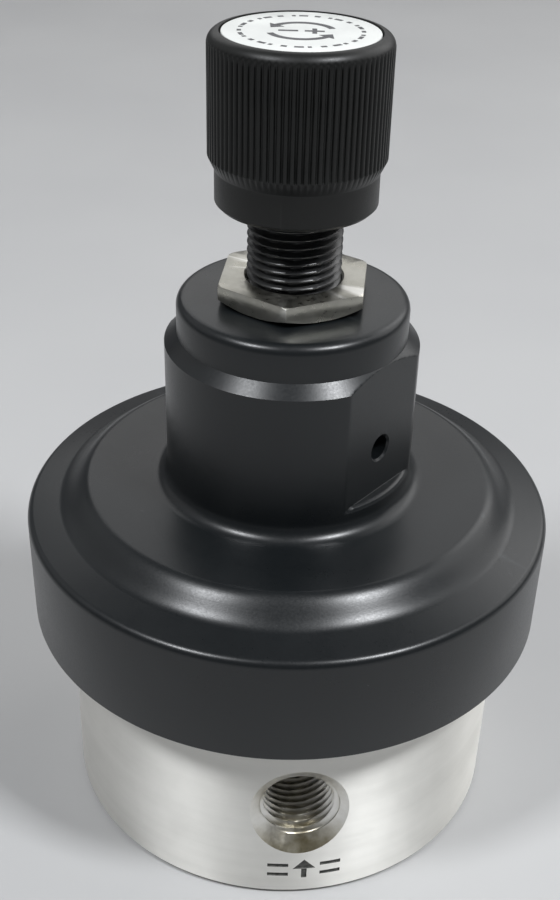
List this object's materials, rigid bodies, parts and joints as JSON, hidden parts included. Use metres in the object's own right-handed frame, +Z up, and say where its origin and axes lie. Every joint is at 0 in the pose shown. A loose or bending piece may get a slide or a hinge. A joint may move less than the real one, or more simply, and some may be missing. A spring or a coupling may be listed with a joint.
{
  "type": "air pressure regulator",
  "caption": "Spring-loaded pressure regulator: round steel body with pipe ports, wide black bonnet with a barrel neck, jam nut and a knurled adjusting knob on a threaded screw.",
  "frame": {"origin": "centre of the body's flat underside, where the regulator stands", "axes": "+Z up along the main axis towards the knob; the inlet port faces -Y and the outlet port faces +Y"},
  "size_m": [0.0952, 0.0952, 0.145],
  "materials": {
    "stainless_steel": "satin turned stainless steel",
    "black_anodised": "matt black anodised",
    "black_oxide": "black oxide, lightly oiled",
    "nickel": "dull nickel plate",
    "black_plastic": "moulded, fine straight knurl",
    "white_label": "printed film",
    "spring_steel": "drawn wire",
    "black_rubber": "moulded",
    "seat_polymer": "turned polymer",
    "filter_mesh": "sintered"
  },
  "bodies": {
    "root": {"body": "stainless_steel", "bonnet": "black_anodised", "body_seal": "black_rubber", "diaphragm": "black_rubber", "slip_ring": "stainless_steel", "seat_retainer": "stainless_steel", "valve_seat": "seat_polymer", "seat_seal": "black_rubber", "inlet_filter": "filter_mesh", "poppet_guide": "seat_polymer", "valve_spring": "spring_steel", "range_spring": "spring_steel"},
    "thrust_carriage": {"spring_button": "nickel", "thrust_ball": "nickel"},
    "adjuster": {"adjusting_screw": "black_oxide", "knob": "black_plastic", "knob_set_screw": "black_oxide", "knob_label": "white_label"},
    "lock": {"jam_nut": "nickel"},
    "diaphragm_stack": {"pusher_plate": "stainless_steel", "backing_plate": "stainless_steel", "stack_washer": "nickel", "stack_nut": "nickel"},
    "valve": {"poppet": "stainless_steel"}
  },
  "joints": [
    {"name": "screw_travel", "type": "slide", "parent": "root", "child": "thrust_carriage", "axis": [0, 0, 1], "range_m": [-0.00988, 0.00141], "deforming": ["range_spring"]},
    {"name": "screw_turn", "type": "hinge", "parent": "thrust_carriage", "child": "adjuster", "pos_m": [0, 0, 0.12], "axis": [0, 0, 1], "range_deg": [-2520, 360]},
    {"name": "jam_nut_turn", "type": "hinge", "parent": "root", "child": "lock", "pos_m": [0, 0, 0.1036], "axis": [0, 0, 1], "range_deg": [0, 90]},
    {"name": "diaphragm_stroke", "type": "slide", "parent": "root", "child": "diaphragm_stack", "axis": [0, 0, 1], "range_m": [-0.0012, 0], "stiffness_N_per_m": 3000, "springref_m": 0.0006, "deforming": ["diaphragm", "range_spring"]},
    {"name": "valve_lift", "type": "slide", "parent": "root", "child": "valve", "axis": [0, 0, 1], "range_m": [-0.0012, 0], "stiffness_N_per_m": 1500, "springref_m": 0.0004, "deforming": ["valve_spring"]}
  ],
  "couplings": [
    {"joint": "screw_turn", "follows": "screw_travel", "rad_per_m": 4452.6},
    {"joint": "valve_lift", "follows": "diaphragm_stroke", "ratio": 1}
  ]
}
